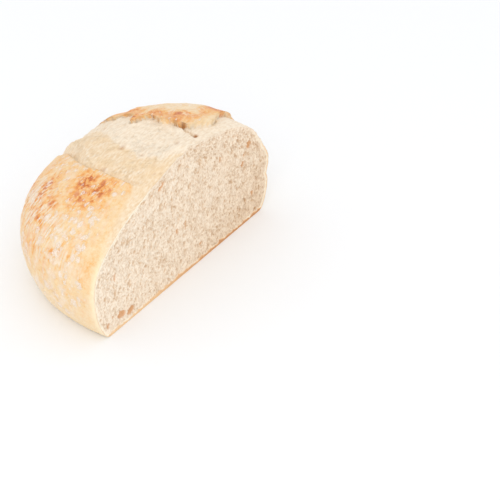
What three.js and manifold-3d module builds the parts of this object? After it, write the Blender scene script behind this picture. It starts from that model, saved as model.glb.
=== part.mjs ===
// Half of a round, hand-shaped sourdough loaf, cut through beside its middle and standing on its flat base.
//
// The whole loaf is a lathed dome, pushed in and out a little round its plan. It was scored with a cross
// before baking. The two slashes opened as the dough rose, so four quarters of old skin stand a little proud
// of the paler bands between them, and the quarter behind the cross on the right lifted highest. A knife
// then took the front of the loaf away. The half is one solid, because it was baked as one piece.
//
// Units are millimetres, +Z is up, the cut face looks towards -Y, and the origin is the middle of the
// footprint of the half's bounding box.

import * as THREE from "three";
import { mergeVertices } from "three/addons/utils/BufferGeometryUtils.js";
import Module from "manifold-3d";

// ---- Driving dimensions --------------------------------------------------------------------------------

const PLAN_RADIUS = 100; // mean radius at the widest level
const PLAN_SWELL = [-2, 12, 1, 6, -1.5, 2, 0, -4]; // out from the mean radius, every 45 degrees from +X
const HEIGHT = 100; // of the smooth dome, before the crust's relief
const WAIST = 37; // height of the widest level
const BASE_SHARE = 0.88; // radius of the flat base, as a share of the plan radius
const SHOULDER = { radial: 1.15, rise: 0.86 }; // powers of cosine and sine along the upper profile
const CUT_FROM_MIDDLE = 12; // the knife passed this far in front of the loaf's middle

// Each slash is a lens on the dome: a centre line, a half width where it is widest, and the angle from the
// top of the loaf at which it closes.
const ACROSS = { centre: -8, halfWidth: 32, closesAt: 72 }; // runs front to back, at x = centre
const ALONG = { centre: -18.5, halfWidth: 21, closesAt: 61 }; // runs left to right, at y = centre

const VALLEY = 1.5; // how far the opened bands lie below the dome
const EDGE = 7; // width over which a quarter drops into a band
const EAR = { lift: 2.4, reach: 45 }; // the lifted quarter's edge, and how far back the lift fades out
const RELIEF_FADE = { from: 62, to: 36 }; // heights between which the relief dies away down the side

const LATHE_STEPS = 120;
const BASE_RINGS = 3;
const FOOT_RINGS = 6;
const DOME_RINGS = 34;

// ---- The whole loaf ------------------------------------------------------------------------------------

const smooth = (t) => THREE.MathUtils.smoothstep(t, 0, 1);
const degrees = (radians) => THREE.MathUtils.radToDeg(radians);

// Profile from the middle of the base, round the foot to the waist, and over the shoulder to the top.
function loafProfile() {
  const baseRadius = PLAN_RADIUS * BASE_SHARE;
  const points = [];
  for (let i = 0; i < BASE_RINGS; i++) {
    points.push(new THREE.Vector2((baseRadius * i) / BASE_RINGS, 0));
  }
  for (let i = 0; i < FOOT_RINGS; i++) {
    const turn = ((Math.PI / 2) * i) / FOOT_RINGS;
    const radius = baseRadius + (PLAN_RADIUS - baseRadius) * Math.sin(turn);
    points.push(new THREE.Vector2(radius, WAIST * (1 - Math.cos(turn))));
  }
  for (let i = 0; i < DOME_RINGS; i++) {
    const turn = ((Math.PI / 2) * i) / DOME_RINGS;
    const radius = PLAN_RADIUS * Math.cos(turn) ** SHOULDER.radial;
    const height = WAIST + (HEIGHT - WAIST) * Math.sin(turn) ** SHOULDER.rise;
    points.push(new THREE.Vector2(radius, height));
  }
  points.push(new THREE.Vector2(0, HEIGHT));
  return points;
}

// Share of the mean plan radius in the direction of (x, y), from a closed spline through PLAN_SWELL.
function planShare(x, y) {
  const count = PLAN_SWELL.length;
  const turn = ((Math.atan2(y, x) / (2 * Math.PI) + 1) % 1) * count;
  const at = (i) => PLAN_SWELL[(i + count) % count];
  const i = Math.floor(turn);
  const t = turn - i;
  const slope = (k) => (at(k + 1) - at(k - 1)) / 2;
  const swell =
    at(i) * (1 + 2 * t) * (1 - t) ** 2 +
    slope(i) * t * (1 - t) ** 2 +
    at(i + 1) * t * t * (3 - 2 * t) -
    slope(i + 1) * t * t * (1 - t);
  return 1 + swell / PLAN_RADIUS;
}

// How far inside a slash's lens a point lies, in millimetres: positive inside, negative outside.
function insideSlash(slash, across, along, z) {
  const fromTop = degrees(Math.atan2(Math.abs(along), z)) / slash.closesAt;
  const halfWidth = fromTop < 1 ? slash.halfWidth * Math.sqrt(1 - fromTop ** 2) : 0;
  return halfWidth - Math.abs(across - slash.centre);
}

// Height of the crust above the smooth dome at a point of the dome.
function relief(x, y, z) {
  const inside = Math.max(insideSlash(ACROSS, x, y, z), insideSlash(ALONG, y, x, z));
  const opened = smooth(inside / EDGE + 0.5);
  const behindCross = x > ACROSS.centre && y > ALONG.centre;
  const ear = behindCross ? EAR.lift * (1 - smooth(-inside / EAR.reach)) : 0;
  const fade = smooth((z - RELIEF_FADE.to) / (RELIEF_FADE.from - RELIEF_FADE.to));
  return fade * (ear * (1 - opened) - VALLEY * opened);
}

// One shared vertex per place, and no triangle with two corners in the same place.
function welded(geometry) {
  const bare = geometry.clone();
  bare.deleteAttribute("uv");
  bare.deleteAttribute("normal");
  const merged = mergeVertices(bare, 1e-4);
  const corners = merged.index.array;
  const kept = [];
  for (let i = 0; i < corners.length; i += 3) {
    const [a, b, c] = corners.slice(i, i + 3);
    if (a !== b && b !== c && c !== a) kept.push(a, b, c);
  }
  merged.setIndex(kept);
  return merged;
}

function wholeLoaf() {
  const lathed = new THREE.LatheGeometry(loafProfile(), LATHE_STEPS).rotateX(Math.PI / 2);
  const geometry = welded(lathed);
  geometry.computeVertexNormals();
  const place = geometry.getAttribute("position");
  const normal = geometry.getAttribute("normal");
  const point = new THREE.Vector3();
  const outward = new THREE.Vector3();
  for (let i = 0; i < place.count; i++) {
    point.fromBufferAttribute(place, i);
    const onBase = point.z < 1e-6;
    const share = planShare(point.x, point.y);
    point.x *= share;
    point.y *= share;
    if (!onBase) {
      outward.fromBufferAttribute(normal, i);
      point.addScaledVector(outward, relief(point.x, point.y, point.z));
    }
    place.setXYZ(i, point.x, point.y, point.z);
  }
  return geometry;
}

// ---- Cutting -------------------------------------------------------------------------------------------

// The largest pores that the knife opened: place across and up the cut face, half width, half height, depth
// and lean in degrees.
const PORES = [
  { x: -73, z: 10, halfWidth: 2.2, halfHeight: 2.9, depth: 3.2, lean: 15 },
  { x: -64, z: 5.5, halfWidth: 1.8, halfHeight: 2.3, depth: 3, lean: -20 },
  { x: -87, z: 10, halfWidth: 1.5, halfHeight: 2.4, depth: 2.5, lean: 20 },
  { x: -26, z: 85, halfWidth: 1.3, halfHeight: 4.4, depth: 3, lean: 50 },
  { x: 64, z: 53, halfWidth: 1.7, halfHeight: 3, depth: 3, lean: 25 },
  { x: 72, z: 66, halfWidth: 2, halfHeight: 3.4, depth: 3.2, lean: 20 },
  { x: 76, z: 21, halfWidth: 1.4, halfHeight: 2.4, depth: 2.5, lean: 15 },
  { x: -3, z: 40, halfWidth: 1.2, halfHeight: 4.2, depth: 2.5, lean: 3 },
  { x: -77, z: 43, halfWidth: 1.2, halfHeight: 3.6, depth: 2.5, lean: 6 },
];

function poreAt({ x, z, halfWidth, halfHeight, depth, lean }) {
  const pore = new THREE.SphereGeometry(1, 12, 8);
  pore.scale(halfWidth, depth, halfHeight);
  pore.rotateY(THREE.MathUtils.degToRad(lean));
  pore.translate(x, -CUT_FROM_MIDDLE, z);
  return pore;
}

function asSolid(wasm, geometry) {
  const shape = welded(geometry);
  const mesh = new wasm.Mesh({
    numProp: 3,
    vertProperties: new Float32Array(shape.getAttribute("position").array),
    triVerts: new Uint32Array(shape.index.array),
  });
  return new wasm.Manifold(mesh);
}

function asGeometry(solid) {
  const mesh = solid.getMesh();
  const geometry = new THREE.BufferGeometry();
  geometry.setAttribute("position", new THREE.BufferAttribute(mesh.vertProperties, 3));
  geometry.setIndex(new THREE.BufferAttribute(mesh.triVerts, 1));
  return geometry;
}

const wasm = await Module();
wasm.setup();

const KNIFE_BLOCK = 4 * PLAN_RADIUS;
const inFront = new THREE.BoxGeometry(KNIFE_BLOCK, KNIFE_BLOCK, KNIFE_BLOCK);
inFront.translate(0, -CUT_FROM_MIDDLE - KNIFE_BLOCK / 2, 0);

let half = asSolid(wasm, wholeLoaf()).subtract(asSolid(wasm, inFront));
for (const pore of PORES) {
  half = half.subtract(asSolid(wasm, poreAt(pore)));
}

const halfGeometry = asGeometry(half);
halfGeometry.computeBoundingBox();
const { min, max } = halfGeometry.boundingBox;
halfGeometry.translate(-(min.x + max.x) / 2, -(min.y + max.y) / 2, -min.z);
halfGeometry.computeVertexNormals();

// ---- The part ------------------------------------------------------------------------------------------

const bread = new THREE.MeshStandardMaterial({ color: 0xe6c391, roughness: 0.9, metalness: 0 });
const loaf = new THREE.Mesh(halfGeometry, bread);
loaf.name = "loaf";

const part = new THREE.Group();
part.name = "sourdough_loaf";
part.add(loaf);

export default part;
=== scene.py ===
import itertools
import math
import random

import bpy
import numpy as np
from mathutils import Matrix, Vector


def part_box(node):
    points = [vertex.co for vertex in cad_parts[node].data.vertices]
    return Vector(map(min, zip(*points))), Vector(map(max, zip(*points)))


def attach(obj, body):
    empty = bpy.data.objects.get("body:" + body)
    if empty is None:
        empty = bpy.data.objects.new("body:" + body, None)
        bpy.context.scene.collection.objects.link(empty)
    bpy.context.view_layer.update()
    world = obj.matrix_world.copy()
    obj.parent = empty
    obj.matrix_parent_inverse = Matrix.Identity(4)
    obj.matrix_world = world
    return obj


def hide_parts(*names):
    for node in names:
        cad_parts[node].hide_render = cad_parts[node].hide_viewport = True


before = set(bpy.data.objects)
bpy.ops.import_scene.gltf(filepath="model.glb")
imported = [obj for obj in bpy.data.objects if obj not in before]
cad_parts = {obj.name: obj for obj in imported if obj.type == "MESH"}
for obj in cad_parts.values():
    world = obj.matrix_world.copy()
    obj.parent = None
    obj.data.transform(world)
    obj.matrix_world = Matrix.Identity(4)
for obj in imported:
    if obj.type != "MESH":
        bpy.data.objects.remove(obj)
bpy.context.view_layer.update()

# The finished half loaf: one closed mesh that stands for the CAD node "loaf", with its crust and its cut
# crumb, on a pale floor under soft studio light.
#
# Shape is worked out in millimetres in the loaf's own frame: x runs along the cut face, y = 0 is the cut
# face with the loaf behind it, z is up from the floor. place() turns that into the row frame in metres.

LOW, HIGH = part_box("loaf")

MM = 0.001
MIDDLE_X = (LOW[0] + HIGH[0]) / 2
CUT_Y = LOW[1]
FLOOR_Z = LOW[2]

# ---- Driving sizes, in millimetres and degrees -----------------------------------------------------------

PLAN_RADII = (98, 107, 101.5, 105.4, 99.2, 102, 99, 96)  # at the waist, every 45 degrees from +x
BEHIND_CUT = 12  # the loaf's upright axis lies this far behind the cut face
HEIGHT = 97.3  # of the smooth dome
WAIST = 35  # height of the widest level
BASE_SHARE = 0.87  # radius of the flat base, as a share of the waist's
SHOULDER_RADIAL = {"left": 1.39, "back": 1.82, "right": 2.3}  # powers of the upper profile
SHOULDER_RISE = 2.33

COLUMNS = 360  # cells along the cut face
ROWS = 240  # cells up the cut face
COARSEST = 8  # the grid starts with this many times fewer cells each way
RELAX_ROUNDS = (300, 30, 8, 2)  # at the start and after each doubling of the cells

RIGHT_FOOT, RIGHT_SHOULDER, LEFT_SHOULDER, LEFT_FOOT = -21, 31, 149, 201  # corners of the grid on the rim
HEART = np.array((0.0, 0.0, 36.0))  # the point in the cut face that the whole crust can be seen from
FARTHEST = 180.0  # past every point of the loaf, seen from the heart
HALVINGS = 26  # of that distance, to find where a ray leaves the loaf

ACROSS = {"centre": -6.25, "half": 33.75, "closes": 72}  # the slash that runs back from the cut
ALONG = {"centre": -6.5, "half": 21, "closes": 61}  # the slash that the knife cut lengthways
OUTSIDE = 60  # stands for "well outside an opening"


# ---- Small mathematics -----------------------------------------------------------------------------------

def smooth(t):
    """0 below 0, 1 above 1, and an easy S between."""
    t = np.clip(t, 0, 1)
    return t * t * (3 - 2 * t)


def rising(value, start, end):
    """0 where value is below start, 1 where it is above end, and an easy S between."""
    return smooth((value - start) / (end - start))


def blend(a, b, t):
    return a + (b - a) * t


def bump(distance, width):
    return np.exp(-((distance / width) ** 2))


def shuffled_pick(shuffled, at):
    """A pseudo-random number from 0 to 255 for each cell."""
    first = shuffled[at[:, 0]]
    second = shuffled[(first + at[:, 1]) & 255]
    return shuffled[(second + at[:, 2]) & 255]


def noise(points, size, seed):
    """Gradient noise from about -1 to 1, with features size across, which may be one number or three."""
    draw = np.random.default_rng(seed)
    shuffled = draw.permutation(256)
    gradients = unit(draw.normal(size=(256, 3)))
    scaled = points / size
    cell = np.floor(scaled).astype(np.int64)
    inside = scaled - cell
    ease = inside ** 3 * (inside * (inside * 6 - 15) + 10)
    total = np.zeros(len(points))
    for corner in itertools.product((0, 1), repeat=3):
        pick = shuffled_pick(shuffled, (cell + corner) & 255)
        weight = np.prod(np.where(corner, ease, 1 - ease), axis=1)
        total += weight * np.einsum("ij,ij->i", gradients[pick], inside - corner)
    gain = 1.7
    return total * gain


def nearest_spot(points, size, seed):
    """Distance to the nearest of randomly strewn spots, one to a cell, in cell widths."""
    draw = np.random.default_rng(seed)
    shuffled = draw.permutation(256)
    jitter = draw.random((256, 3))
    scaled = points / size
    cell = np.floor(scaled).astype(np.int64)
    best = np.full(len(points), np.inf)
    for step in itertools.product((-1, 0, 1), repeat=3):
        near = cell + step
        pick = shuffled_pick(shuffled, near & 255)
        best = np.minimum(best, np.linalg.norm(near + jitter[pick] - scaled, axis=1))
    return best


def unit(vectors):
    return vectors / np.linalg.norm(vectors, axis=-1, keepdims=True)


# ---- The smooth half loaf --------------------------------------------------------------------------------

def plan_radius(turn):
    """The waist's radius in the direction turn, by a closed spline through PLAN_RADII."""
    radii = np.asarray(PLAN_RADII, float)
    count = len(radii)
    along = (turn / (2 * np.pi) % 1.0) * count
    i = np.floor(along).astype(int)
    t = along - i
    here, after = radii[i % count], radii[(i + 1) % count]
    slope_here = (after - radii[(i - 1) % count]) / 2
    slope_after = (radii[(i + 2) % count] - here) / 2
    return (here * (1 + 2 * t) * (1 - t) ** 2 + slope_here * t * (1 - t) ** 2
            + after * t * t * (3 - 2 * t) - slope_after * t * t * (1 - t))


def inside_loaf(points):
    x, y, z = points[:, 0], points[:, 1] - BEHIND_CUT, points[:, 2]
    turn = np.arctan2(y, x)
    towards = np.cos(turn)
    side = np.where(towards > 0, SHOULDER_RADIAL["right"], SHOULDER_RADIAL["left"])
    power = blend(SHOULDER_RADIAL["back"], side, towards ** 2)
    rise = np.clip((z - WAIST) / (HEIGHT - WAIST), 0, 1)
    shoulder = (1 - rise ** SHOULDER_RISE) ** (1 / power)
    drop = np.clip(1 - z / WAIST, 0, 1)
    foot = blend(BASE_SHARE, 1, np.sqrt(1 - drop ** 2))
    share = np.where(z > WAIST, shoulder, foot)
    return (z >= 0) & (z <= HEIGHT) & (np.hypot(x, y) <= plan_radius(turn) * share)


def cast(directions):
    """Where rays from the heart leave the smooth loaf."""
    near = np.zeros(len(directions))
    far = np.full(len(directions), FARTHEST)
    for _ in range(HALVINGS):
        middle = (near + far) / 2
        kept = inside_loaf(HEART + directions * middle[:, None])
        near = np.where(kept, middle, near)
        far = np.where(kept, far, middle)
    return HEART + directions * near[:, None]


def first_directions(columns, rows):
    """Directions from the heart over the half space behind the cut, with the grid's edge in the cut plane."""
    u, v = np.meshgrid(np.linspace(-1, 1, columns + 1), np.linspace(-1, 1, rows + 1))
    a, b = u * np.sqrt(1 - v * v / 2), v * np.sqrt(1 - u * u / 2)
    out = np.clip(np.hypot(a, b), 0, 1)
    corners = (-135, -45, 45, 135, 225)
    turned = (LEFT_FOOT - 360, RIGHT_FOOT, RIGHT_SHOULDER, LEFT_SHOULDER, LEFT_FOOT)
    turn = np.degrees(np.arctan2(b, a))
    turn = np.radians(np.interp(np.where(turn < -135, turn + 360, turn), corners, turned))
    along = 1 - out ** 2
    across = np.sqrt(1 - along ** 2)
    return np.stack((across * np.cos(turn), along, across * np.sin(turn)), -1)


def even_out_edges(grid):
    """Spreads the points of each side of the grid's edge evenly along it."""
    for side in (grid[0], grid[-1], grid[:, 0], grid[:, -1]):
        length = np.concatenate(([0], np.cumsum(np.linalg.norm(np.diff(side, axis=0), axis=1))))
        even = np.linspace(0, length[-1], len(side))
        side[:] = np.stack([np.interp(even, length, side[:, k]) for k in range(3)], -1)


def onto_loaf(grid):
    directions = unit(grid - HEART)
    return cast(directions.reshape(-1, 3)).reshape(grid.shape)


def relax(grid, rounds):
    """Evens out the cells: each point moves to its neighbours' mean, the far ones counting for more."""
    for _ in range(rounds):
        centre = grid[1:-1, 1:-1]
        pulled, total = np.zeros_like(centre), np.zeros(centre.shape[:2] + (1,))
        for around in (grid[:-2, 1:-1], grid[2:, 1:-1], grid[1:-1, :-2], grid[1:-1, 2:]):
            weight = np.linalg.norm(around - centre, axis=-1, keepdims=True)
            pulled += weight * around
            total += weight
        grid[1:-1, 1:-1] = (centre + pulled / total) / 2
        grid = onto_loaf(grid)
    return grid


def refine(grid):
    """Doubles the cells each way."""
    for axis in (0, 1):
        grid = np.swapaxes(grid, 0, axis)
        finer = np.empty((2 * len(grid) - 1,) + grid.shape[1:])
        finer[::2] = grid
        finer[1::2] = (grid[1:] + grid[:-1]) / 2
        grid = np.swapaxes(finer, 0, axis)
    return onto_loaf(grid)


def smooth_outside():
    """The smooth loaf's outside as a grid of points whose edge is the rim of the cut face."""
    columns, rows = COLUMNS // COARSEST, ROWS // COARSEST
    grid = cast(first_directions(columns, rows).reshape(-1, 3)).reshape(rows + 1, columns + 1, 3)
    for rounds in RELAX_ROUNDS:
        even_out_edges(grid)
        grid = onto_loaf(grid)
        grid = relax(grid, rounds)
        if grid.shape[1] <= COLUMNS:
            grid = refine(grid)
    return grid


def normals_of(grid):
    down = np.gradient(grid, axis=0)
    right = np.gradient(grid, axis=1)
    return unit(np.cross(down, right))


outside = smooth_outside()


# ---- Where the old skin, the slashes and the marks on them lie -------------------------------------------

CRUST_EDGE = 0.7  # width over which old skin gives way to torn crumb
SOFT_EDGE = 7.0  # the same where the near quarter's skin runs out smoothly beside the cut
OPENING_FOOT = 30  # below this height there is no opening, and above twice this height all of it
EAR_FRONT_FOOT = 28  # height that the ear's front edge runs down to

# y, reach and width of the flaps in the ear's edge
EAR_FLAPS = ((58.5, 12, 4.0), (79, 4, 4), (37, 4.2, 8))
# x and y along the ear's front edge
EAR_FRONT = ((15, 18), (28, 17.5), (36, 14), (44, 11), (56, 18), (70, 24), (90, 26))
# y and x along the crease where the opening's crumb goes from smooth to rough
CREASE = ((0, -4), (9, -11), (18, -15), (27, -18), (36, -16), (48, -12), (65, -4), (80, 5), (92, 8))
# x and y along the crack that runs from the ear's corner to the cut
CORNER_CRACK = ((26, 25), (23.5, 17), (20.5, 8))
# y, reach and depth of the gaps below the ear's edge, which are also painted dark as shade
CREVICES = ((69, 3, 0.9), (47, 4, 0.7), (41, 2, 1.0), (28, 1.8, 1.0), (22.5, 2.0, 1.4))

# The pits' depth also paints shade into the crust's colour.
PITS = (  # x, y, radius and depth of hollows in the opening
    (8, 78, 1.5, 0.6),
    (-13, 45, 2.4, 0.7),
    (-36, 42, 2.2, 0.6),
    (-26, 6, 1.2, 0.5),
    (-24, 2.5, 1.2, 0.5),
    (6, 12, 2.0, 0.5),
    (-15, 25, 1.2, 0.6),
    (21, 9, 1.7, 2.4),
)

FLOUR_PATCHES = (  # x, y, z and radius of the thickest flour
    (-71, 21, 77, 2.6),
    (-75, 33, 74, 2.0),
    (-65, 28, 80, 2.2),
    (-58, 41, 83, 2.0),
    (-88, 54, 57, 2.4),
    (-88, 19, 63, 2.2),
    (-81, 30, 70, 2.2),
    (-81, 20, 70, 2.2),
    (-98, 12, 46, 2.4),
    (-74, 51, 72, 2.0),
    (-75, 41, 73, 2.0),
    (-70, 34, 77, 1.8),
    (-92, 35, 57, 2.0),
    (-97, 24, 48, 2.2),
    (-70, 17, 78, 1.8),
    (-52, 19, 86, 2.2),
    (-51, 37, 86, 1.6),
)

STAINS = (  # x, y, radius and strength of golden smears on the opening's smooth part
    (-13, 42, 6, 1.0),
    (-5, 37, 5, 0.6),
    (-22, 22, 7, 0.5),
    (-32, 46, 5, 0.4),
    (-24, 6, 6, 0.6),
    (-8, 66, 6, 0.4),
)

OVEN_SPOTS = (  # x, y, reach along x, reach along y and depth of colour of each dark patch
    (-49, 44, 8, 6, 1.0),
    (-50, 30, 7, 7, 1.0),
    (-60, 38, 7, 10, 0.75),
    (-57, 73, 8, 6, 0.85),
    (-70, 63, 8, 9, 0.6),
    (-85, 66, 4, 8, 0.35),
    (-95, 44, 3, 5, 0.2),
    (37, 34, 8, 6, 0.6),
    (29, 31, 5, 6, 0.5),
    (30, 46, 4, 12, 0.5),
    (22, 60, 5, 4, 0.6),
    (66, 27, 5, 7, 1.0),
    (30, 75, 6, 10, 0.45),
    (64, 80, 14, 12, 0.5),
    (20, 108, 26, 8, 0.45),
    (-48, 98, 12, 8, 0.4),
)

# how golden the skin is from 0 to 1, before the noise
GOLDEN = {"near side": 0.33, "far side": 0.12, "behind the ear's lip": 0.38}


def inside_slash(slash, across, along, height, far_power=2):
    """How far inside a slash's opening each point lies, in millimetres, and below 0 outside it."""
    from_top = np.degrees(np.arctan2(np.abs(along), np.maximum(height, 1))) / slash["closes"]
    apart = across - slash["centre"]
    power = np.where(apart > 0, far_power, 2)
    half = slash["half"] * np.sqrt(1 - np.clip(from_top, 0, 1) ** power)
    return half - np.abs(apart) - OUTSIDE * np.clip(from_top - 1, 0, 1)


def from_lines(points, corners):
    """Plan distance of each point from a line through a few corners."""
    best = np.full(len(points), np.inf)
    for start, end in zip(np.array(corners[:-1], float), np.array(corners[1:], float)):
        run = end - start
        share = np.clip((points[:, :2] - start) @ run / (run @ run), 0, 1)
        best = np.minimum(best, np.linalg.norm(points[:, :2] - start - share[:, None] * run, axis=1))
    return best


def openings(points):
    """How far inside each of the two slashes' openings every point lies, with their ragged edges."""
    x, y, z = points.T
    on_ear = x > ACROSS["centre"]
    flaps = sum(reach * bump(y - flap_y, width) for flap_y, reach, width in EAR_FLAPS)
    torn_edge = 0.9 * noise(points, 8, 11) + 0.5 * noise(points, 2.8, 12)
    calm_edge = 0.7 * noise(points, 14, 13) + 0.3 * noise(points, 4, 14)
    narrowing = 10 * rising(y, 55, 90)
    across = inside_slash(ACROSS, x, y - BEHIND_CUT, z, far_power=5)
    across -= np.where(on_ear, torn_edge + flaps, calm_edge + narrowing)
    along = inside_slash(ALONG, y, x, z) - calm_edge
    ear_front = np.interp(x, *zip(*EAR_FRONT)) * np.sqrt(rising(z, EAR_FRONT_FOOT, EAR_FRONT_FOOT + 30))
    ear_front -= OUTSIDE * (z < EAR_FRONT_FOOT)
    along = np.where(on_ear, ear_front - y - torn_edge, along)
    return across, along


def gather_at_edge(grid):
    """Draws the grid's points towards the skin's edge, so that the edge comes out crisp."""
    points = grid[1:-1, 1:-1].reshape(-1, 3)
    step = 0.05
    least_steepness = 0.3
    farthest = 5
    depth = -np.maximum(*openings(points))
    slope = np.stack([-np.maximum(*openings(points + step * axis)) - depth for axis in np.eye(3)], -1) / step
    steepness = np.maximum((slope ** 2).sum(-1), least_steepness)
    move = -0.6 * depth * bump(depth, 1.7) * rising(points[:, 2], OPENING_FOOT, OPENING_FOOT + 10) / steepness
    moved = points + slope * move[:, None] * (np.abs(depth) < farthest)[:, None]
    grid[1:-1, 1:-1] = cast(unit(moved - HEART)).reshape(grid[1:-1, 1:-1].shape)


def skin_and_crumb(points):
    """Where each point lies against the old skin's edge, and against the crease in the opening."""
    x, y, _ = points.T
    on_ear = x > ACROSS["centre"]
    across, along = openings(points)
    by_across = across > along
    skin_depth = -np.maximum(across, along)
    beside_cut = np.where(by_across | on_ear, 0, rising(-x, 38, 50))
    edge_width = blend(CRUST_EDGE, SOFT_EDGE, beside_cut)
    skin = smooth((skin_depth + 0.5 * on_ear + 3 * beside_cut) / edge_width + 0.5)
    baked = np.where(on_ear, rising(skin_depth, -1.25, -0.75), skin)

    crease_x = np.interp(y, *zip(*CREASE)) - 2.5 * noise(points, 9, 15) - 1.2 * noise(points, 3.5, 16)
    past_crease = x - crease_x
    silk = np.where(by_across | on_ear, 1 - rising(past_crease, -1.5, 2.5), 1)
    return {
        "on_ear": on_ear, "by_across": by_across, "skin_depth": skin_depth, "skin": skin, "baked": baked,
        "past_crease": past_crease, "silk": silk,
    }


def left_flank(points):
    """1 on the steep skin at the loaf's left, 0 towards its top and its right."""
    return rising(-0.75 * points[:, 0] + 0.5 * points[:, 1], 71, 86)


def browning(points, skin_depth):
    """How golden the skin is all over, how dark in its oven spots, how pale beside the cut, partly its own
    colour and partly a painted highlight on the rim.
    """
    x, y, z = points.T
    oven = np.zeros(len(points))
    for spot_x, spot_y, wide, long, strength in OVEN_SPOTS:
        apart = ((x - spot_x) / wide) ** 2 + ((y - spot_y) / long) ** 2
        oven = np.maximum(oven, strength * np.exp(-0.7 * apart) * rising(z, 26, 52))

    behind_lip = rising(skin_depth, -2.2, 0.8) * (1 - rising(skin_depth, 9, 18)) * rising(y, 12, 22)
    far_golden = GOLDEN["far side"] + GOLDEN["behind the ear's lip"] * behind_lip
    far_side = rising(x - ACROSS["centre"], -5, 5)
    golden = blend(GOLDEN["near side"], far_golden, far_side)
    golden += 0.12 * noise(points, 30, 19) + 0.08 * noise(points, 10, 20) - 0.05 * left_flank(points)
    near_base = blend(0.35, 1, rising(z, 8, 42))
    at_cut = blend(0.65, 1.25, rising(z, 45, 75))
    golden *= near_base * blend(at_cut, 1, rising(y, 1, 10))

    # Paler skin within a few millimetres of the cut on the left: partly the crust's own colour, partly a
    # painted highlight on the rim.
    pale = bump(y, 3.2) * rising(-x, 30, 44)
    return {"oven": oven, "golden": golden, "pale": pale}


def flouring(points, skin_depth):
    """How thick the flour lies on the skin: strewn, drawn out into streaks, and in patches."""
    x, y, z = points.T
    flank = left_flank(points)
    ear = rising(x, -8, 2) * (1 - rising(y, 76, 96))
    dust = 0.7 + 0.35 * noise(points, 22, 24) + 0.2 * noise(points, 8, 25)
    dust = np.maximum(dust * rising(y, 7, 15), flank) * rising(z, 3, 17) * (1 - 0.4 * ear)
    ear_top = ear * rising(skin_depth, 6, 12) * (1 - rising(skin_depth, 28, 42))
    streaks_on_flank = flank * rising(z, 42, 56) * smooth(0.75 + 1.2 * noise(points, 10, 26))
    streaks_on_ear = 0.7 * ear_top * smooth(0.7 + 1.2 * noise(points, 9, 27))
    floured = np.zeros(len(points))
    for *centre, radius in FLOUR_PATCHES:
        floured = np.maximum(floured, bump(np.linalg.norm(points - centre, axis=1), 1.3 * radius))
    return {
        "ear": ear, "dust": np.clip(dust, 0, 1), "streaks": np.maximum(streaks_on_flank, streaks_on_ear),
        "floured": floured,
    }


def marks_in_opening(points, field):
    """Golden stains on the opening's smooth part, and its hollows and gaps, whose depth is also painted dark
    as shade.
    """
    x, y, _ = points.T
    stain = np.zeros(len(points))
    for stain_x, stain_y, radius, strength in STAINS:
        stain = np.maximum(stain, strength * bump(np.hypot(x - stain_x, y - stain_y), radius))
    hollow = np.zeros(len(points))
    for pit_x, pit_y, radius, depth in PITS:
        hollow = np.maximum(hollow, depth * bump(np.hypot((x - pit_x) / 1.3, y - pit_y), radius))
    below_ear = bump(field["skin_depth"] + 0.6, 0.55) * (field["on_ear"] & field["by_across"])
    for gap_y, reach, depth in CREVICES:
        hollow = np.maximum(hollow, depth * bump(y - gap_y, reach) * below_ear)
    return {"stain": stain, "hollow": hollow}


def crust_fields(points):
    """What each point of the crust is: how far into old skin, and how much of each colour and texture."""
    field = skin_and_crumb(points)
    field |= browning(points, field["skin_depth"])
    field |= flouring(points, field["skin_depth"])
    field |= marks_in_opening(points, field)
    return field


# ---- The crust's relief ----------------------------------------------------------------------------------

NEAR_LIP = {"step": 0.2, "lift": 1.2, "reach": 6}  # how far the near quarter's skin and its edge stand up
ALONG_STEP = 0.5  # how far the skin stands up at the lengthways slash
EAR_STEP = 1.4  # how far the far quarter's skin stands up
EAR_LIFT = 2.6  # how far its torn edge stands up above that
EAR_REACH = 70  # how quickly that lift dies away behind the edge
EAR_OVERHANG = 2.0  # how far the torn edge leans out over the opening
EAR_UNDERCUT = 1.1  # how far it is hollowed below
GROOVE = 2.4  # depth of the groove below the torn edge
CRACK = 4.2  # depth of the crack from the ear's corner to the cut
VALLEY = 1.5  # how far the opening lies below the dome
BROW = 1.9  # how far the crumb swells at the top of the cut


def along_slope(points):
    """A vector that runs round the loaf with its first number and down its slope with its second."""
    typical_radius = 90
    x, y, z = points[:, 0], points[:, 1] - BEHIND_CUT, points[:, 2]
    turn = np.arctan2(-x, y)
    fall = np.arctan2(np.hypot(x, y), z)
    return np.stack((typical_radius * turn, typical_radius * fall, np.zeros(len(points))), -1)


def skin_height(points, field):
    """How far the old skin stands above the smooth loaf."""
    _, y, z = points.T
    on_ear = field["on_ear"]
    behind_edge = np.clip(field["skin_depth"], 0, None)
    lift = EAR_LIFT * rising(z, 58, 84) * (1 + 0.45 * noise(points, 13, 30))
    ear = EAR_STEP + lift * np.exp(-behind_edge / EAR_REACH)
    lip = NEAR_LIP["lift"] * np.exp(-behind_edge / NEAR_LIP["reach"])
    near = NEAR_LIP["step"] + lip * (1 - rising(y, 62, 86))
    return np.where(on_ear, ear, np.where(field["by_across"], near, ALONG_STEP))


def opening_height(points, field):
    """How far the torn crumb in the opening stands above the smooth loaf."""
    x, y, _ = points.T
    from_skin = np.minimum(field["skin_depth"], 0)
    past_crease = field["past_crease"]
    valley = VALLEY * rising(y, 4, 18) * (1 - rising(y, 40, 62))
    at_back = rising(y, 58, 76)
    beside_skin = blend(0.8, 3.2, at_back) * np.exp(from_skin / blend(4, 6, at_back))
    beside_skin -= 2.0 * at_back * rising(-from_skin, 7, 15) * rising(-x, -6, 8)
    beside_skin = np.where(field["on_ear"], -1.2 * np.exp(from_skin / 7), beside_skin)
    torn_rise = 0.8 * rising(past_crease, 0, 8) - 0.5 * bump(past_crease + 1, 2.2)
    brow = BROW * bump(x - 2, 22) * bump(y, 11)
    return np.where(field["by_across"], torn_rise - valley - beside_skin, -0.2) + brow


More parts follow.
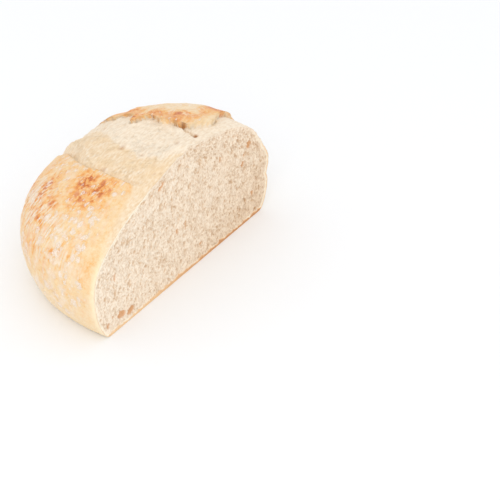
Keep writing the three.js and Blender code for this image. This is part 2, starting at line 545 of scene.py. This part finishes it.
def torn_right_end(points):
    """Two shallow hollows at the cut's right end, one on its shoulder and one low beside the cut."""
    x, y, z = points.T
    on_shoulder = 3.0 * bump(x - 90, 12) * bump(y - 6, 30) * rising(z, 44, 58)
    beside_cut = 2.6 * bump(z - 30, 5.5) * bump(y, 9) * rising(x, 70, 85)
    return on_shoulder + beside_cut


def skin_grain(points, flow, field):
    """Waves, grain, drawn out ridges, blisters and oven marks of the old skin."""
    grain = 0.4 * noise(points, 13, 31) + 0.2 * noise(points, 4.5, 32) + 0.1 * noise(points, 1.7, 33)
    ridges = 0.35 * noise(flow, (2.6, 11, 1), 34) * field["streaks"]
    blisters = 0.35 * rising(-nearest_spot(points, 5, 35), -0.4, -0.2) * smooth(noise(points, 18, 36) * 2)
    marks = 0.4 * field["oven"] * noise(points, 3.2, 37)
    return grain + ridges + blisters + marks


def torn_grain(points, field):
    """Strands and pits of the opening's rough crumb, and the gentler grain of its smooth crumb."""
    strands = 0.6 * noise(points, (9, 2.6, 2.6), 38) + 0.4 * noise(points, (4, 1.8, 1.8), 39)
    pits = rising(-nearest_spot(points, (4.2, 2.8, 2.8), 40), -0.33, -0.13)
    pits *= 0.8 * smooth(0.6 + noise(points, 8, 41))
    rough = 0.6 * noise(points, 6, 45) + strands - pits
    rough *= np.where(field["by_across"], 1, 0.55)
    calm = 0.45 * noise(points, 11, 42) + 0.2 * noise(points, (6, 2.4, 2.4), 43) + 0.1 * noise(points, 2, 46)
    return blend(rough, calm, field["silk"]) - field["hollow"]


def crust_shift(points, normals, field):
    """How far each point of the crust moves from the smooth loaf."""
    x, _, z = points.T
    skin_depth, skin, by_across = field["skin_depth"], field["skin"], field["by_across"]
    high = rising(z, OPENING_FOOT, 2 * OPENING_FOOT)

    cracked = smooth(0.45 + 1.4 * noise(points, 11, 44)) * rising(x, -5, 5)
    groove = GROOVE * bump(skin_depth + 0.9, 0.9) * cracked * high
    crack = CRACK * bump(from_lines(points, CORNER_CRACK), 1.0) * smooth(1.2 - skin_depth)
    up = high * blend(opening_height(points, field) - groove, skin_height(points, field), skin)
    up -= crack * (1 - 0.3 * skin) + torn_right_end(points)
    grain = blend(torn_grain(points, field), skin_grain(points, along_slope(points), field), skin)
    above_base = rising(z, 0.6, 6.6)
    shift = normals * ((up + grain) * above_base)[:, None]

    overhang = EAR_OVERHANG * bump(skin_depth - 0.3, 0.9)
    undercut = EAR_UNDERCUT * bump(skin_depth + 0.9, 0.7) * cracked
    lean = (overhang - undercut) * field["on_ear"] * high
    shift[:, 0] -= np.where(by_across, lean, 0)
    shift[:, 1] -= np.where(by_across, 0, 0.6 * lean)
    return shift


def underside_grain(points):
    """Small hollows in the base, which never reach below the floor."""
    on_base = 1 - rising(points[:, 2], 0, 1)
    hollow = np.clip(0.25 * noise(points, 7, 51) + 0.15 * noise(points, 2.5, 52), 0, None)
    return on_base * hollow


gather_at_edge(outside)
outward = normals_of(outside)
flat_points = outside.reshape(-1, 3)
field = crust_fields(flat_points)
crust = flat_points + crust_shift(flat_points, outward.reshape(-1, 3), field)
crust[:, 2] = np.maximum(crust[:, 2], 0) + underside_grain(flat_points)
crust[:, 1] = np.maximum(crust[:, 1], 0)
crust = crust.reshape(outside.shape)
for rim in (crust[0], crust[-1], crust[:, 0], crust[:, -1]):
    rim[:, 1] = 0


# ---- The cut face ----------------------------------------------------------------------------------------

PORE_PITCH = 0.2  # of the grid that pores are stamped on
PORE_GRID = 102  # how far that grid reaches to each side and up
DEEPEST_PORE = 2.4
FACE_OVAL = {"middle": 18, "half_width": 98, "half_height": 80}  # the oval that the cut face nearly fills
PORE_SIZES = (  # how many, then the least and greatest half width, and the least and greatest stretch
    (5600, 0.36, 0.56, 1.0, 1.7),
    (1700, 0.5, 0.82, 1.1, 2.6),
    (150, 0.8, 1.2, 1.3, 3.0),
)
LARGE_PORES = (  # x, z, half width, half length, lean from upright
    (-73.5, 9.5, 4.2, 3.0, 15),
    (-64.5, 7, 4.0, 2.9, -20),
    (-87, 9, 1.4, 2.4, 20),
    (-82, 13, 1.0, 1.6, 0),
    (-26, 85, 1.3, 4.4, 50),
    (64, 53, 1.8, 2.6, 25),
    (72, 65.5, 2.7, 3.1, 20),
    (66, 60, 1.0, 2.2, 35),
    (76, 21, 1.4, 2.4, 15),
    (-3, 40, 1.0, 4.2, 3),
    (-77, 43, 1.0, 3.6, 6),
    (-12, 40, 1.3, 2.6, -8),
    (38, 71, 1.2, 2.3, 10),
    (13, 14, 1.1, 2.4, 45),
)


def rim_patch(grid):
    """Points across the cut face, spread as evenly as its rim allows, with no folds."""
    rows, columns = grid.shape[:2]
    patch = np.zeros_like(grid)
    patch[0], patch[-1], patch[:, 0], patch[:, -1] = grid[0], grid[-1], grid[:, 0], grid[:, -1]
    around = patch[:-2, 1:-1] + patch[2:, 1:-1] + patch[1:-1, :-2] + patch[1:-1, 2:]
    across, along = np.arange(1, rows - 1) / (rows - 1), np.arange(1, columns - 1) / (columns - 1)
    waves_across = np.sin(np.pi * np.outer(across, np.arange(1, rows - 1)))
    waves_along = np.sin(np.pi * np.outer(along, np.arange(1, columns - 1)))
    stiffness = 4 - 2 * np.cos(np.pi * across)[:, None] - 2 * np.cos(np.pi * along)[None]
    for axis in range(3):
        settled = (waves_across @ around[:, :, axis] @ waves_along) / stiffness
        patch[1:-1, 1:-1, axis] = waves_across @ settled @ waves_along * 4 / ((rows - 1) * (columns - 1))
    return patch


def from_rim(points, grid):
    """Distance of each point of the cut face from the rim, in the cut plane."""
    every = 3  # only each third point of the rim is measured from
    at_once = 40  # rim points, which keeps the arrays small
    rim = np.concatenate((grid[0], grid[:, -1], grid[-1][::-1], grid[:, 0][::-1]))[::every, [0, 2]]
    best = np.full(len(points), np.inf)
    for start in range(0, len(rim), at_once):
        apart = points[:, None, [0, 2]] - rim[None, start:start + at_once]
        best = np.minimum(best, (apart ** 2).sum(-1).min(1))
    return np.sqrt(best)


def strewn_pores():
    """Pores all over the cut face, upright in its middle and bent round beside the crust."""
    dice = random.Random(7)
    middle, wide, tall = FACE_OVAL["middle"], FACE_OVAL["half_width"], FACE_OVAL["half_height"]
    pores = []
    for count, least, most, short, long in PORE_SIZES:
        for _ in range(count):
            x, z = dice.uniform(-100, 100), dice.uniform(0, 100)
            half = dice.uniform(least, most)
            length = half * dice.uniform(short, long)
            near_crust = min(max((math.hypot(x / wide, (z - middle) / tall) - 0.72) / 0.22, 0), 1)
            beside_rim = math.degrees(math.atan2((z - middle) / tall ** 2, x / wide ** 2))
            beside_rim = beside_rim % 180 - 180 * (beside_rim % 180 > 90)
            lean = dice.gauss(4, 24) * (1 - near_crust) - beside_rim * near_crust
            pores.append((x, z, half, length, lean))
    return pores


def stamp(pores):
    """Depth of the pores below the cut face, on an even grid of PORE_PITCH."""
    depth = np.zeros((int(PORE_GRID / PORE_PITCH), int(2 * PORE_GRID / PORE_PITCH)))
    for x, z, half, length, lean in pores:
        reach = length + half
        low_i = max(int((z - reach) / PORE_PITCH), 0)
        low_j = max(int((x + PORE_GRID - reach) / PORE_PITCH), 0)
        high_i = int((z + reach) / PORE_PITCH) + 2
        high_j = int((x + PORE_GRID + reach) / PORE_PITCH) + 2
        part = depth[low_i:high_i, low_j:high_j]
        i, j = np.mgrid[low_i:low_i + part.shape[0], low_j:low_j + part.shape[1]]
        away_x, away_z = j * PORE_PITCH - PORE_GRID - x, i * PORE_PITCH - z
        turn = math.radians(lean)
        across = away_x * math.cos(turn) - away_z * math.sin(turn)
        along = away_x * math.sin(turn) + away_z * math.cos(turn)
        bowl = np.clip(1 - (across / half) ** 2 - (along / length) ** 2, 0, 1)
        np.maximum(part, min(1.3 * half, DEEPEST_PORE) * np.sqrt(bowl), out=part)
    return depth


def read_grid(depth, x, z):
    """The stamped depth at each point, blended from the four nearest grid points."""
    i = np.clip(z / PORE_PITCH, 0, depth.shape[0] - 1.001)
    j = np.clip((x + PORE_GRID) / PORE_PITCH, 0, depth.shape[1] - 1.001)
    i0, j0 = i.astype(int), j.astype(int)
    a, b = i - i0, j - j0
    return ((depth[i0, j0] * (1 - b) + depth[i0, j0 + 1] * b) * (1 - a)
            + (depth[i0 + 1, j0] * (1 - b) + depth[i0 + 1, j0 + 1] * b) * a)


def edge_of_crust(points, distance):
    """How brown the crust is where the knife went through it: most at the base, and thinly up the sides."""
    x, _, z = points.T
    ragged = 1 + 0.5 * noise(points, 5, 71) + 0.3 * noise(points, 1.7, 72)
    at_base = (1 - rising(z / ragged, 1.0, 3.0)) * blend(0.36, 0.9, rising(x, -70, 50))
    at_side = (1 - rising(distance / ragged, 0.5, 1.4)) * rising(-z, -64, -50)
    at_side *= np.where(x > 0, 0.3, 0.22)
    return np.maximum(at_base, at_side)


def pale_rind_and_highlight(points, distance):
    """How pale and close the crumb is just inside the crust, with a painted highlight on the rounded rim: at
    the left, and low on the right.
    """
    x, _, z = points.T
    ragged = 1 + 0.4 * noise(points, 6, 73)
    at_left = rising(-x, 34, 44)
    at_right = 0.7 * rising(-z, -84, -54)
    return (1 - rising(distance * ragged, 1.3, 3.3)) * np.where(x < 0, at_left, at_right)


cut = rim_patch(crust)
cut_points = cut.reshape(-1, 3)
rim_distance = from_rim(cut_points, crust)
inside_rim = rising(rim_distance, 0.8, 2.8)
pores = inside_rim * read_grid(stamp(strewn_pores()), cut_points[:, 0], cut_points[:, 2])
holes = inside_rim * read_grid(stamp(LARGE_PORES), cut_points[:, 0], cut_points[:, 2])
waves = 0.35 * noise(cut_points, 26, 61) + 0.12 * noise(cut_points, (5, 5, 9), 62)
grit = 0.22 * noise(cut_points, (1.2, 1.2, 1.4), 63)
baked_edge = edge_of_crust(cut_points, rim_distance)
rind_and_highlight = pale_rind_and_highlight(cut_points, rim_distance)
cut_points[:, 1] += np.maximum(pores, holes) + (waves + grit + 0.4) * rising(rim_distance, 0, 2.5)
cut = cut_points.reshape(cut.shape)


# ---- One closed mesh -------------------------------------------------------------------------------------

UV_MARGIN = 0.004  # kept free round each half of the texture square
CRUST_ATTRIBUTES = (
    "baked", "silk", "golden", "oven", "dust", "streaks", "pale", "hollow", "ear", "floured", "stain",
)


def place(points):
    """From millimetres in the loaf's frame to metres in the row frame."""
    return points * MM + np.array((MIDDLE_X, CUT_Y, FLOOR_Z))


def quads(index, flipped):
    """The grid's cells, as four point numbers each."""
    a, b, c, d = index[:-1, :-1], index[:-1, 1:], index[1:, 1:], index[1:, :-1]
    order = (a, d, c, b) if flipped else (a, b, c, d)
    return np.stack(order, -1).reshape(-1, 4)


def add_uv(mesh, faces, rows, columns):
    """Lays the crust out over the texture square's upper half, and the cut face over its lower half."""
    across = np.linspace(UV_MARGIN, 1 - UV_MARGIN, columns)
    up = np.linspace(UV_MARGIN, 0.5 - UV_MARGIN, rows)
    j, i = np.meshgrid(across, up)
    crust_uv = np.stack((j, i + 0.5), -1).reshape(-1, 2)
    cut_uv = np.stack((j, i), -1)
    a, b, c, d = cut_uv[:-1, :-1], cut_uv[:-1, 1:], cut_uv[1:, 1:], cut_uv[1:, :-1]
    crust_faces = faces[:len(faces) // 2]
    corner_uv = np.concatenate((crust_uv[crust_faces.ravel()], np.stack((a, b, c, d), -2).reshape(-1, 2)))
    layer = mesh.uv_layers.new(name="OFBake")
    layer.data.foreach_set("uv", corner_uv.astype(np.float32).ravel())


def closed_mesh():
    """The crust and the cut face, sharing the rim's points."""
    rows, columns = crust.shape[:2]
    crust_index = np.arange(rows * columns).reshape(rows, columns)
    cut_index = crust_index.copy()
    cut_index[1:-1, 1:-1] = rows * columns + np.arange((rows - 2) * (columns - 2)).reshape(rows - 2, -1)
    points = np.concatenate((crust.reshape(-1, 3), cut[1:-1, 1:-1].reshape(-1, 3)))
    faces = np.concatenate((quads(crust_index, True), quads(cut_index, False)))

    mesh = bpy.data.meshes.new("half_loaf")
    mesh.vertices.add(len(points))
    mesh.vertices.foreach_set("co", place(points).astype(np.float32).ravel())
    mesh.loops.add(faces.size)
    mesh.loops.foreach_set("vertex_index", faces.astype(np.int32).ravel())
    mesh.polygons.add(len(faces))
    mesh.polygons.foreach_set("loop_start", np.arange(0, faces.size, 4, dtype=np.int32))
    mesh.polygons.foreach_set("loop_total", np.full(len(faces), 4, dtype=np.int32))
    mesh.polygons.foreach_set("material_index", np.repeat((0, 1), len(faces) // 2).astype(np.int32))
    mesh.polygons.foreach_set("use_smooth", np.ones(len(faces), dtype=bool))
    mesh.update(calc_edges=True)
    mesh.validate()
    add_uv(mesh, faces, rows, columns)

    def attribute(name, on_crust, on_cut):
        values = np.concatenate((on_crust, on_cut.reshape(rows, columns)[1:-1, 1:-1].ravel()))
        made = mesh.attributes.new(name, "FLOAT", "POINT")
        made.data.foreach_set("value", values.astype(np.float32))

    none = np.zeros(rows * columns)
    for name in CRUST_ATTRIBUTES:
        attribute(name, field[name], none)
    # The depths of the pores and the large holes also paint shade into the crumb's colour.
    attribute("pore", none, np.clip(pores / 1.1, 0, 1))
    attribute("hole", none, np.clip(holes / 1.3, 0, 1))
    attribute("baked_edge", none, baked_edge)
    attribute("rind_and_highlight", none, rind_and_highlight)
    flow = np.zeros((len(points), 3), np.float32)
    flow[:rows * columns] = along_slope(flat_points) * MM
    mesh.attributes.new("flow", "FLOAT_VECTOR", "POINT").data.foreach_set("vector", flow.ravel())
    return mesh


loaf = bpy.data.objects.new("half_loaf", closed_mesh())
bpy.context.scene.collection.objects.link(loaf)


# ---- Materials -------------------------------------------------------------------------------------------

def colour(red, green, blue):
    """A colour given as it shows on a screen, from 0 to 255, as Blender's linear colour."""
    def linear(value):
        share = value / 255
        return share / 12.92 if share <= 0.04045 else ((share + 0.055) / 1.055) ** 2.4
    return linear(red), linear(green), linear(blue), 1.0


SKIN = (  # from the palest skin to the deepest brown
    (0.0, colour(244, 222, 186)),
    (0.3, colour(239, 204, 153)),
    (0.52, colour(238, 180, 108)),
    (0.76, colour(228, 146, 68)),
    (1.0, colour(198, 106, 42)),
)
PALE_SKIN_AND_HIGHLIGHT = colour(251, 234, 199)
FLOUR = colour(253, 239, 228)
ROUGH_TORN = ((0.3, colour(234, 212, 184)), (0.6, colour(247, 232, 210)))
SMOOTH_TORN = ((0.36, colour(246, 230, 207)), (0.66, colour(243, 220, 186)))
SMOOTH_TORN_HOLLOW = colour(233, 204, 165)
STAIN = colour(238, 202, 150)
# Colour of painted shade in the gaps below the ear and in the pits.
GAP_SHADE = colour(180, 124, 72)

# The right-hand colours are darker by painted shade, which falls towards the cut face's right end.
CREAM = {"left": colour(250, 235, 215), "right": colour(240, 217, 189)}
# Colours of painted shade, laid into the pores and the large holes by their depth.
PORE_SHADE = {"left": colour(220, 190, 157), "right": colour(198, 161, 124)}
HOLE_SHADE = colour(214, 156, 100)
# Pale close crumb by the crust, brightened further as a painted highlight on the rim.
RIND_AND_HIGHLIGHT = colour(254, 243, 220)
CUT_CRUST = (  # from the thin skin at the sides to the base
    (0.0, colour(246, 224, 194)),
    (0.35, colour(236, 196, 150)),
    (0.7, colour(214, 160, 112)),
    (1.0, colour(184, 124, 78)),
)


class Nodes:
    """Short forms for building a material's nodes."""

    def __init__(self, name):
        self.material = bpy.data.materials.new(name)
        self.material.use_nodes = True
        self.tree = self.material.node_tree
        self.shader = self.tree.nodes["Principled BSDF"]
        self.place = self.tree.nodes.new("ShaderNodeTexCoord").outputs["Object"]

    def link(self, value, socket):
        if isinstance(value, bpy.types.NodeSocket):
            self.tree.links.new(value, socket)
        else:
            socket.default_value = value

    def attribute(self, name, output="Fac"):
        node = self.tree.nodes.new("ShaderNodeAttribute")
        node.attribute_name = name
        return node.outputs[output]

    def math(self, operation, a, b):
        node = self.tree.nodes.new("ShaderNodeMath")
        node.operation = operation
        self.link(a, node.inputs[0])
        self.link(b, node.inputs[1])
        return node.outputs[0]

    def plus(self, *values):
        total = values[0]
        for value in values[1:]:
            total = self.math("ADD", total, value)
        return total

    def minus(self, a, b):
        return self.math("SUBTRACT", a, b)

    def times(self, a, b):
        return self.math("MULTIPLY", a, b)

    def greatest(self, *values):
        best = values[0]
        for value in values[1:]:
            best = self.math("MAXIMUM", best, value)
        return best

    def swing(self, value, amount):
        """A noise's value, swinging about 0 instead of 0.5, times amount."""
        return self.times(self.minus(value, 0.5), amount)

    def share(self, value, low, high):
        """value from low..high to 0..1, held at the ends; with low above high it falls instead."""
        node = self.tree.nodes.new("ShaderNodeMapRange")
        node.inputs["From Min"].default_value = low
        node.inputs["From Max"].default_value = high
        self.link(value, node.inputs["Value"])
        return node.outputs["Result"]

    def mix(self, share, a, b):
        """A colour between a and b."""
        node = self.tree.nodes.new("ShaderNodeMix")
        node.data_type = "RGBA"
        self.link(share, node.inputs["Factor"])
        self.link(a, node.inputs[6])
        self.link(b, node.inputs[7])
        return node.outputs[2]

    def between(self, share, a, b):
        """A number between a and b."""
        node = self.tree.nodes.new("ShaderNodeMix")
        self.link(share, node.inputs[0])
        self.link(a, node.inputs[2])
        self.link(b, node.inputs[3])
        return node.outputs[0]

    def ramp(self, value, stops):
        node = self.tree.nodes.new("ShaderNodeValToRGB")
        elements = node.color_ramp.elements
        while len(elements) < len(stops):
            elements.new(0.5)
        for element, (position, shade) in zip(elements, stops):
            element.position = position
            element.color = shade
        self.link(value, node.inputs["Fac"])
        return node.outputs["Color"]

    def mapped(self, stretch=(1, 1, 1), turn=0.0, place=None):
        mapping = self.tree.nodes.new("ShaderNodeMapping")
        mapping.inputs["Rotation"].default_value = (0, math.radians(turn), 0)
        mapping.inputs["Scale"].default_value = stretch
        self.link(place or self.place, mapping.inputs["Vector"])
        return mapping.outputs["Vector"]

    def noise(self, size, detail=2.0, stretch=(1, 1, 1), turn=0.0, place=None):
        """Noise with features about size millimetres across, from 0 to 1."""
        node = self.tree.nodes.new("ShaderNodeTexNoise")
        node.inputs["Scale"].default_value = 1 / (size * MM)
        node.inputs["Detail"].default_value = detail
        self.link(self.mapped(stretch, turn, place), node.inputs["Vector"])
        return node.outputs["Fac"]

    def spots(self, pitch, most, density, stretch=(1, 1, 1), place=None):
        """Ragged spots a pitch apart in millimetres, up to most of a pitch in radius, few at low density."""
        where = self.mapped(stretch, place=place)
        ragged = self.tree.nodes.new("ShaderNodeTexNoise")
        ragged.inputs["Scale"].default_value = 2.6 / (pitch * MM)
        self.link(where, ragged.inputs["Vector"])
        offset = self.tree.nodes.new("ShaderNodeVectorMath")
        offset.operation = "MULTIPLY_ADD"
        self.link(ragged.outputs["Color"], offset.inputs[0])
        offset.inputs[1].default_value = [0.55 * pitch * MM] * 3
        self.link(where, offset.inputs[2])
        cells = self.tree.nodes.new("ShaderNodeTexVoronoi")
        cells.inputs["Scale"].default_value = 1 / (pitch * MM)
        self.link(offset.outputs[0], cells.inputs["Vector"])
        pick = self.tree.nodes.new("ShaderNodeSeparateColor")
        self.link(cells.outputs["Color"], pick.inputs[0])
        radius = self.times(self.times(self.minus(pick.outputs[0], 0.25), most), density)
        return self.share(self.minus(radius, cells.outputs["Distance"]), 0, 0.1)

    def bump(self, height, distance):
        node = self.tree.nodes.new("ShaderNodeBump")
        node.inputs["Distance"].default_value = distance * MM
        self.link(height, node.inputs["Height"])
        self.tree.links.new(node.outputs["Normal"], self.shader.inputs["Normal"])


def skin_browning(n, noises):
    """How brown the skin is: golden all over, darker in the oven's spots and the drawn out streaks."""
    oven = n.times(n.attribute("oven"), n.plus(n.share(noises["marks"], 0.44, 0.6), 0.36))
    drawn_out = n.times(n.attribute("streaks"), n.minus(n.share(noises["streaky"], 0.6, 0.4), 0.35))
    return n.plus(
        n.attribute("golden"), n.times(oven, 0.66), n.times(drawn_out, 0.44),
        n.swing(noises["broad"], 0.36), n.swing(noises["small"], 0.6), n.swing(noises["fine"], 0.5),
    )


def flour_cover(n, noises, flow):
    """How thickly flour covers the skin: blobs, specks, drawn out drifts, a haze and patches."""
    dust, oven = n.attribute("dust"), n.attribute("oven")
    blobs = n.spots(4.6, 0.95, dust, stretch=(1, 0.85, 1), place=flow)
    thick = n.greatest(n.share(noises["broad"], 0.3, 0.62), oven)
    specks = n.spots(2.4, 1.3, n.times(dust, thick), stretch=(1, 0.75, 1), place=flow)
    drifts = n.times(n.attribute("streaks"), n.share(noises["streaky"], 0.49, 0.58))
    cloudy = n.noise(5, 4, stretch=(1, 0.6, 1), place=flow)
    haze = n.times(n.times(dust, n.share(cloudy, 0.44, 0.66)), n.minus(1.0, oven))
    patches = n.share(n.times(n.attribute("floured"), n.share(noises["marks"], 0.25, 0.6)), 0.28, 0.38)
    cover = n.greatest(n.times(specks, 0.7), blobs, drifts, n.times(haze, 0.7), patches)
    return n.times(cover, n.share(noises["fine"], 0.25, 0.6))


def torn_crumb(n, broad):
    """The opening's crumb: stranded where it is rough, and yellower with golden stains where it is smooth."""
    strands = n.noise(1.5, 4, stretch=(0.4, 1, 1))
    rough = n.ramp(strands, ROUGH_TORN)
    calm = n.mix(n.share(strands, 0.66, 0.38), n.ramp(broad, SMOOTH_TORN), SMOOTH_TORN_HOLLOW)
    calm = n.mix(n.times(n.attribute("stain"), 0.5), calm, STAIN)
    return n.mix(n.attribute("silk"), rough, calm)


def crust_material():
    """Baked skin from pale to deep brown with flour on it, and the torn crumb between, with painted shade in
    its gaps and pits and a painted highlight beside the cut on the left.
    """
    n = Nodes("crust")
    flow = n.attribute("flow", "Vector")
    downhill = n.noise(1.9, 3, stretch=(1, 0.27, 1), place=flow)
    round_the_ear = n.noise(1.9, 3, stretch=(0.3, 1, 1), place=flow)
    noises = {
        "fine": n.noise(0.8),
        "small": n.noise(2.6, 3),
        "broad": n.noise(8, 3),
        "marks": n.noise(3.4, 4),
        "streaky": n.between(n.attribute("ear"), downhill, round_the_ear),
    }
    browned = skin_browning(n, noises)
    flour = flour_cover(n, noises, flow)
    # The pale band beside the cut is partly the skin's colour and partly a painted highlight.
    baked = n.mix(n.times(n.attribute("pale"), 0.85), n.ramp(browned, SKIN), PALE_SKIN_AND_HIGHLIGHT)
    baked = n.mix(n.times(flour, 0.9), baked, FLOUR)
    whole = n.mix(n.attribute("baked"), torn_crumb(n, noises["broad"]), baked)
    # Painted shade: the gaps below the ear and the pits in the opening are coloured dark by their depth.
    whole = n.mix(n.share(n.attribute("hollow"), 0.12, 1.2), whole, GAP_SHADE)
    n.link(whole, n.shader.inputs["Base Color"])

    dullness = n.minus(n.plus(flour, noises["fine"]), n.times(browned, 0.5))
    n.link(n.share(dullness, -1.2, 1.6), n.shader.inputs["Roughness"])
    n.bump(n.plus(noises["fine"], n.times(noises["small"], 1.5), flour), 0.3)
    return n.material


def crumb_material():
    """Soft cream crumb, tan in its pores and holes by painted shade and darker towards the right and the
    lower right by painted shade, with a pale close band inside the crust that also paints a highlight on the
    rim, and a thin baked edge at base and sides.
    """
    n = Nodes("crumb")
    grain = n.noise(0.95, 2, stretch=(1, 1, 0.5), turn=-8)
    clumps = n.noise(2.4, 2, stretch=(1, 1, 0.5), turn=-8)
    speck = n.noise(0.6, 1)
    patch = n.noise(11, 2)
    split = n.tree.nodes.new("ShaderNodeSeparateXYZ")
    n.link(n.place, split.inputs[0])
    x, z = split.outputs["X"], split.outputs["Z"]

    # Painted shade: the crumb and its pores darken towards the right and more towards the lower right corner,
    # with random tone from the patch noise on top.
    shade_to_right = n.share(x, -80 * MM, 110 * MM)
    shade_to_corner = n.times(n.share(z, 50 * MM, 0), n.share(x, -20 * MM, 80 * MM))
    shade_and_tone = n.plus(n.times(shade_to_right, 0.65), n.times(shade_to_corner, 0.5), n.swing(patch, 1.0))
    cream = n.mix(shade_and_tone, CREAM["left"], CREAM["right"])
    hollow = n.mix(shade_and_tone, PORE_SHADE["left"], PORE_SHADE["right"])
    # Painted shade: the pores by their depth, and the low parts of the fine grain that also drives the bump,
    # are coloured darker; the clumps are random tone.
    pore_shade_strength = n.plus(n.times(n.share(patch, 0.36, 0.6), 0.4), 0.34)
    shade = n.plus(
        n.times(n.attribute("pore"), pore_shade_strength),
        n.times(n.share(grain, 0.64, 0.36), 0.52),
        n.times(n.share(clumps, 0.64, 0.36), 0.24),
    )
    crumb = n.mix(n.share(shade, 0.18, 1.05), cream, hollow)
    # Painted shade in the large holes, by their depth.
    crumb = n.mix(n.times(n.attribute("hole"), 0.8), crumb, HOLE_SHADE)
    # Pale close crumb by the crust, and a painted highlight along the rim.
    crumb = n.mix(n.times(n.attribute("rind_and_highlight"), 0.9), crumb, RIND_AND_HIGHLIGHT)
    baked_edge = n.attribute("baked_edge")
    crumb = n.mix(n.share(baked_edge, 0.03, 0.16), crumb, n.ramp(baked_edge, CUT_CRUST))
    n.link(crumb, n.shader.inputs["Base Color"])

    n.link(n.share(speck, -3, 1.6), n.shader.inputs["Roughness"])
    n.bump(n.plus(grain, n.times(speck, 0.6)), 0.35)
    return n.material


for made in (crust_material(), crumb_material()):
    loaf.data.materials.append(made)

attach(loaf, "root")
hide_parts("loaf")


# ---- Floor, light and camera, in metres ------------------------------------------------------------------

FLOOR_SIZE = 6
FLOOR_SHADE = (0.915, 0.926, 0.942, 1)
FLOOR_ROUGHNESS = 0.9
SKY_STRENGTH = 1.02
KEY = {"position": (-0.9, -0.7, 0.9), "size": 0.9, "power": 3.5}
LIT_POINT = Vector((0, 0, 0.04))
CAMERA = {"azimuth": -54.87, "elevation": 38, "distance": 831.9, "lens": 85, "sensor": 36}  # in millimetres
LOOK_PAST = {"right": 41.8, "up": 13.2}  # millimetres by which the camera's axis misses the cut's lower edge


def pale_floor():
    bpy.ops.mesh.primitive_plane_add(size=FLOOR_SIZE, location=(0, 0, FLOOR_Z))
    floor = bpy.context.object
    floor.name = "floor"
    material = bpy.data.materials.new("floor")
    material.use_nodes = True
    shader = material.node_tree.nodes["Principled BSDF"]
    shader.inputs["Base Color"].default_value = FLOOR_SHADE
    shader.inputs["Roughness"].default_value = FLOOR_ROUGHNESS
    floor.data.materials.append(material)


def key_light():
    """A square softbox that faces the loaf from the left."""
    data = bpy.data.lights.new("key", "AREA")
    data.size = KEY["size"]
    data.energy = KEY["power"]
    light = bpy.data.objects.new("key", data)
    light.location = KEY["position"]
    light.rotation_euler = (LIT_POINT - light.location).to_track_quat("-Z", "Y").to_euler()
    bpy.context.scene.collection.objects.link(light)


def white_room():
    """Even white light from all round."""
    world = bpy.data.worlds.new("studio")
    world.use_nodes = True
    background = world.node_tree.nodes["Background"]
    background.inputs["Color"].default_value = (1, 1, 1, 1)
    background.inputs["Strength"].default_value = SKY_STRENGTH
    bpy.context.scene.world = world
    bpy.context.scene.view_settings.view_transform = "Standard"


def camera():
    turn, rise = math.radians(CAMERA["azimuth"]), math.radians(CAMERA["elevation"])
    back = Vector((math.sin(turn) * math.cos(rise), -math.cos(turn) * math.cos(rise), math.sin(rise)))
    right = Vector((math.cos(turn), math.sin(turn), 0))
    up = back.cross(right)
    position = back * CAMERA["distance"] + right * LOOK_PAST["right"] + up * LOOK_PAST["up"]
    data = bpy.data.cameras.new("camera")
    data.lens = CAMERA["lens"]
    data.sensor_width = CAMERA["sensor"]
    made = bpy.data.objects.new("camera", data)
    axes = Matrix((right, up, back)).transposed().to_4x4()
    made.matrix_world = Matrix.Translation(place(np.array(position))) @ axes
    bpy.context.scene.collection.objects.link(made)
    bpy.context.scene.camera = made


pale_floor()
white_room()
key_light()
camera()
